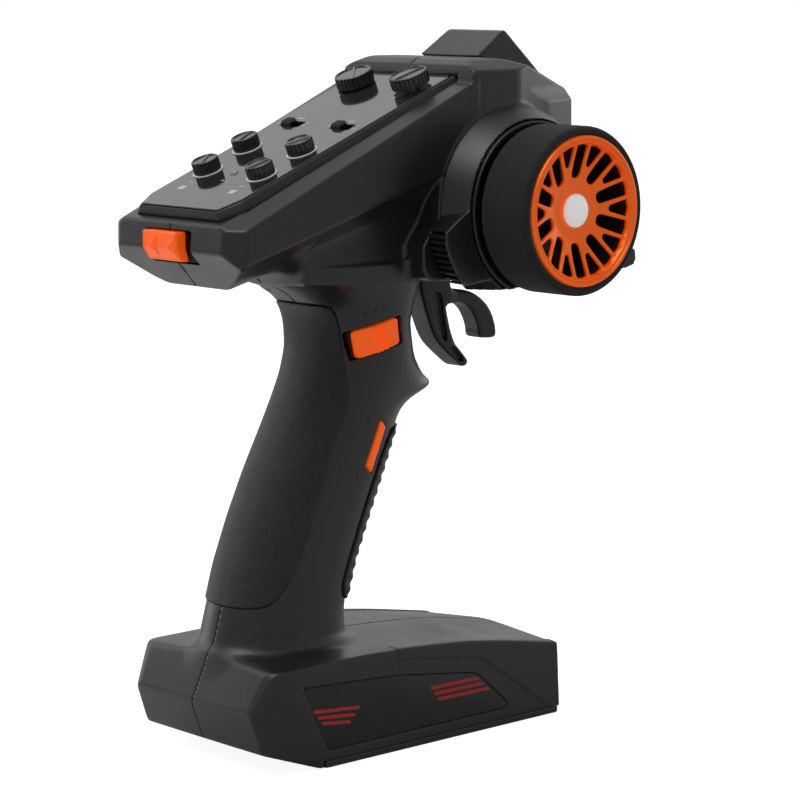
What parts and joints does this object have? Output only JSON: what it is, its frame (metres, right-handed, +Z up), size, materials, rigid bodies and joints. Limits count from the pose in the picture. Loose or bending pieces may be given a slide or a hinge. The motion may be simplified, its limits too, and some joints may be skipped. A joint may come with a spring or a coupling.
{
  "type": "radio transmitter controller",
  "caption": "Pistol-grip radio transmitter for a model car: foam steering wheel, trigger, tilted knob panel, rubber grip and battery box foot.",
  "frame": {"origin": "on the ground, on the parting plane between the two housing halves, near the middle of the battery box", "axes": "+Z up, +Y forward past the trigger, +X to the right, the side that carries the steering wheel"},
  "size_m": [0.0885, 0.1578, 0.212],
  "materials": {
    "housing": "fine spark-textured charcoal plastic",
    "housing_trim": "satin charcoal plastic",
    "face_gloss": "polished dark face plate",
    "grip_rubber": "leather-grained soft rubber",
    "foam": "closed-cell foam",
    "orange": "metallic orange lacquer",
    "cap_white": "polished white",
    "knob_black": "gloss black, ribbed",
    "ring_white": "satin white",
    "label": "satin black with red stripes",
    "steel": "turned",
    "brass": "turned",
    "inner_plastic": "moulded",
    "board": "solder-masked laminate",
    "part_case": "moulded case",
    "led": "clear lens",
    "cell_wrap": "printed sleeve"
  },
  "bodies": {
    "housing": {"right_shell": "housing", "left_shell": "housing", "base_cover": "housing", "wheel_mount": "housing", "panel_tray": "housing_trim", "faceplate": "face_gloss", "antenna_cover": "housing", "rear_grip_rubber": "grip_rubber", "finger_grip_rubber": "grip_rubber", "right_label_plate": "label", "left_label_plate": "label", "wheel_bush": "brass", "steering_frame": "inner_plastic", "steering_pot": "part_case", "wheel_spring": "steel", "trigger_bracket": "inner_plastic", "trigger_pot": "part_case", "trigger_spring": "steel", "pot_bodies": "part_case", "dial_rings": "ring_white", "switch_bodies": "steel", "status_led": "led", "power_switch_body": "part_case", "gear_switch_body": "part_case", "tact_switches": "part_case", "main_board": "board", "radio_board": "board", "antenna": "steel", "buzzer": "knob_black", "battery_cells": "cell_wrap", "battery_contacts": "steel", "housing_screws": "steel", "base_screws": "steel"},
    "wheel": {"wheel_hub": "housing_trim", "foam_tyre": "foam", "wheel_rim": "orange", "wheel_cap": "cap_white", "wheel_screw": "steel", "wheel_shaft": "steel"},
    "trigger": {"trigger": "housing_trim", "trigger_shaft": "steel"},
    "steer_rate": {"steer_rate_knob": "knob_black", "steer_rate_shaft": "steel"},
    "throttle_rate": {"throttle_rate_knob": "knob_black", "throttle_rate_shaft": "steel"},
    "steer_trim": {"steer_trim_knob": "knob_black", "steer_trim_shaft": "steel"},
    "throttle_trim": {"throttle_trim_knob": "knob_black", "throttle_trim_shaft": "steel"},
    "channel_a": {"channel_a_knob": "knob_black", "channel_a_shaft": "steel"},
    "channel_b": {"channel_b_knob": "knob_black", "channel_b_shaft": "steel"},
    "steer_reverse": {"steer_reverse_switch": "knob_black"},
    "throttle_reverse": {"throttle_reverse_switch": "knob_black"},
    "power": {"power_slider": "orange"},
    "gear": {"gear_slider": "orange"},
    "rocker": {"trim_rocker": "orange"},
    "door": {"battery_door": "housing_trim"}
  },
  "joints": [
    {"name": "wheel_steer", "type": "hinge", "parent": "housing", "child": "wheel", "pos_m": [0.045, 0.0415, 0.16], "axis": [1, 0, 0], "range_deg": [-35, 35], "stiffness_Nm_per_rad": 0.06},
    {"name": "trigger_pull", "type": "hinge", "parent": "housing", "child": "trigger", "pos_m": [0, 0.038, 0.147], "axis": [1, 0, 0], "range_deg": [-14, 9], "stiffness_Nm_per_rad": 0.08},
    {"name": "steer_rate_turn", "type": "hinge", "parent": "housing", "child": "steer_rate", "pos_m": [-0.0121, -0.0432, 0.17222], "axis": [0, -0.3714, 0.9285], "range_deg": [-140, 140]},
    {"name": "throttle_rate_turn", "type": "hinge", "parent": "housing", "child": "throttle_rate", "pos_m": [0.0121, -0.0432, 0.17222], "axis": [0, -0.3714, 0.9285], "range_deg": [-140, 140]},
    {"name": "steer_trim_turn", "type": "hinge", "parent": "housing", "child": "steer_trim", "pos_m": [-0.0122, -0.02816, 0.17824], "axis": [0, -0.3714, 0.9285], "range_deg": [-140, 140]},
    {"name": "throttle_trim_turn", "type": "hinge", "parent": "housing", "child": "throttle_trim", "pos_m": [0.0122, -0.02816, 0.17824], "axis": [0, -0.3714, 0.9285], "range_deg": [-140, 140]},
    {"name": "channel_a_turn", "type": "hinge", "parent": "housing", "child": "channel_a", "pos_m": [-0.0123, 0.01511, 0.19554], "axis": [0, -0.3714, 0.9285], "range_deg": [-140, 140]},
    {"name": "channel_b_turn", "type": "hinge", "parent": "housing", "child": "channel_b", "pos_m": [0.0123, 0.01511, 0.19554], "axis": [0, -0.3714, 0.9285], "range_deg": [-140, 140]},
    {"name": "steer_reverse_slide", "type": "slide", "parent": "housing", "child": "steer_reverse", "axis": [1, 0, 0], "range_m": [0, 0.0032]},
    {"name": "throttle_reverse_slide", "type": "slide", "parent": "housing", "child": "throttle_reverse", "axis": [1, 0, 0], "range_m": [0, 0.0032]},
    {"name": "power_slide", "type": "slide", "parent": "housing", "child": "power", "axis": [1, 0, 0], "range_m": [0, 0.004]},
    {"name": "gear_slide", "type": "slide", "parent": "housing", "child": "gear", "axis": [0, 0.9751, 0.2215], "range_m": [-0.0016, 0.0016]},
    {"name": "trim_rock", "type": "hinge", "parent": "housing", "child": "rocker", "pos_m": [0.0145, -0.0032, 0.09], "axis": [0, -0.9063, 0.4226], "range_deg": [-3, 3], "stiffness_Nm_per_rad": 0.02},
    {"name": "door_slide", "type": "slide", "parent": "housing", "child": "door", "axis": [0, 1, 0], "range_m": [0, 0.06]}
  ]
}
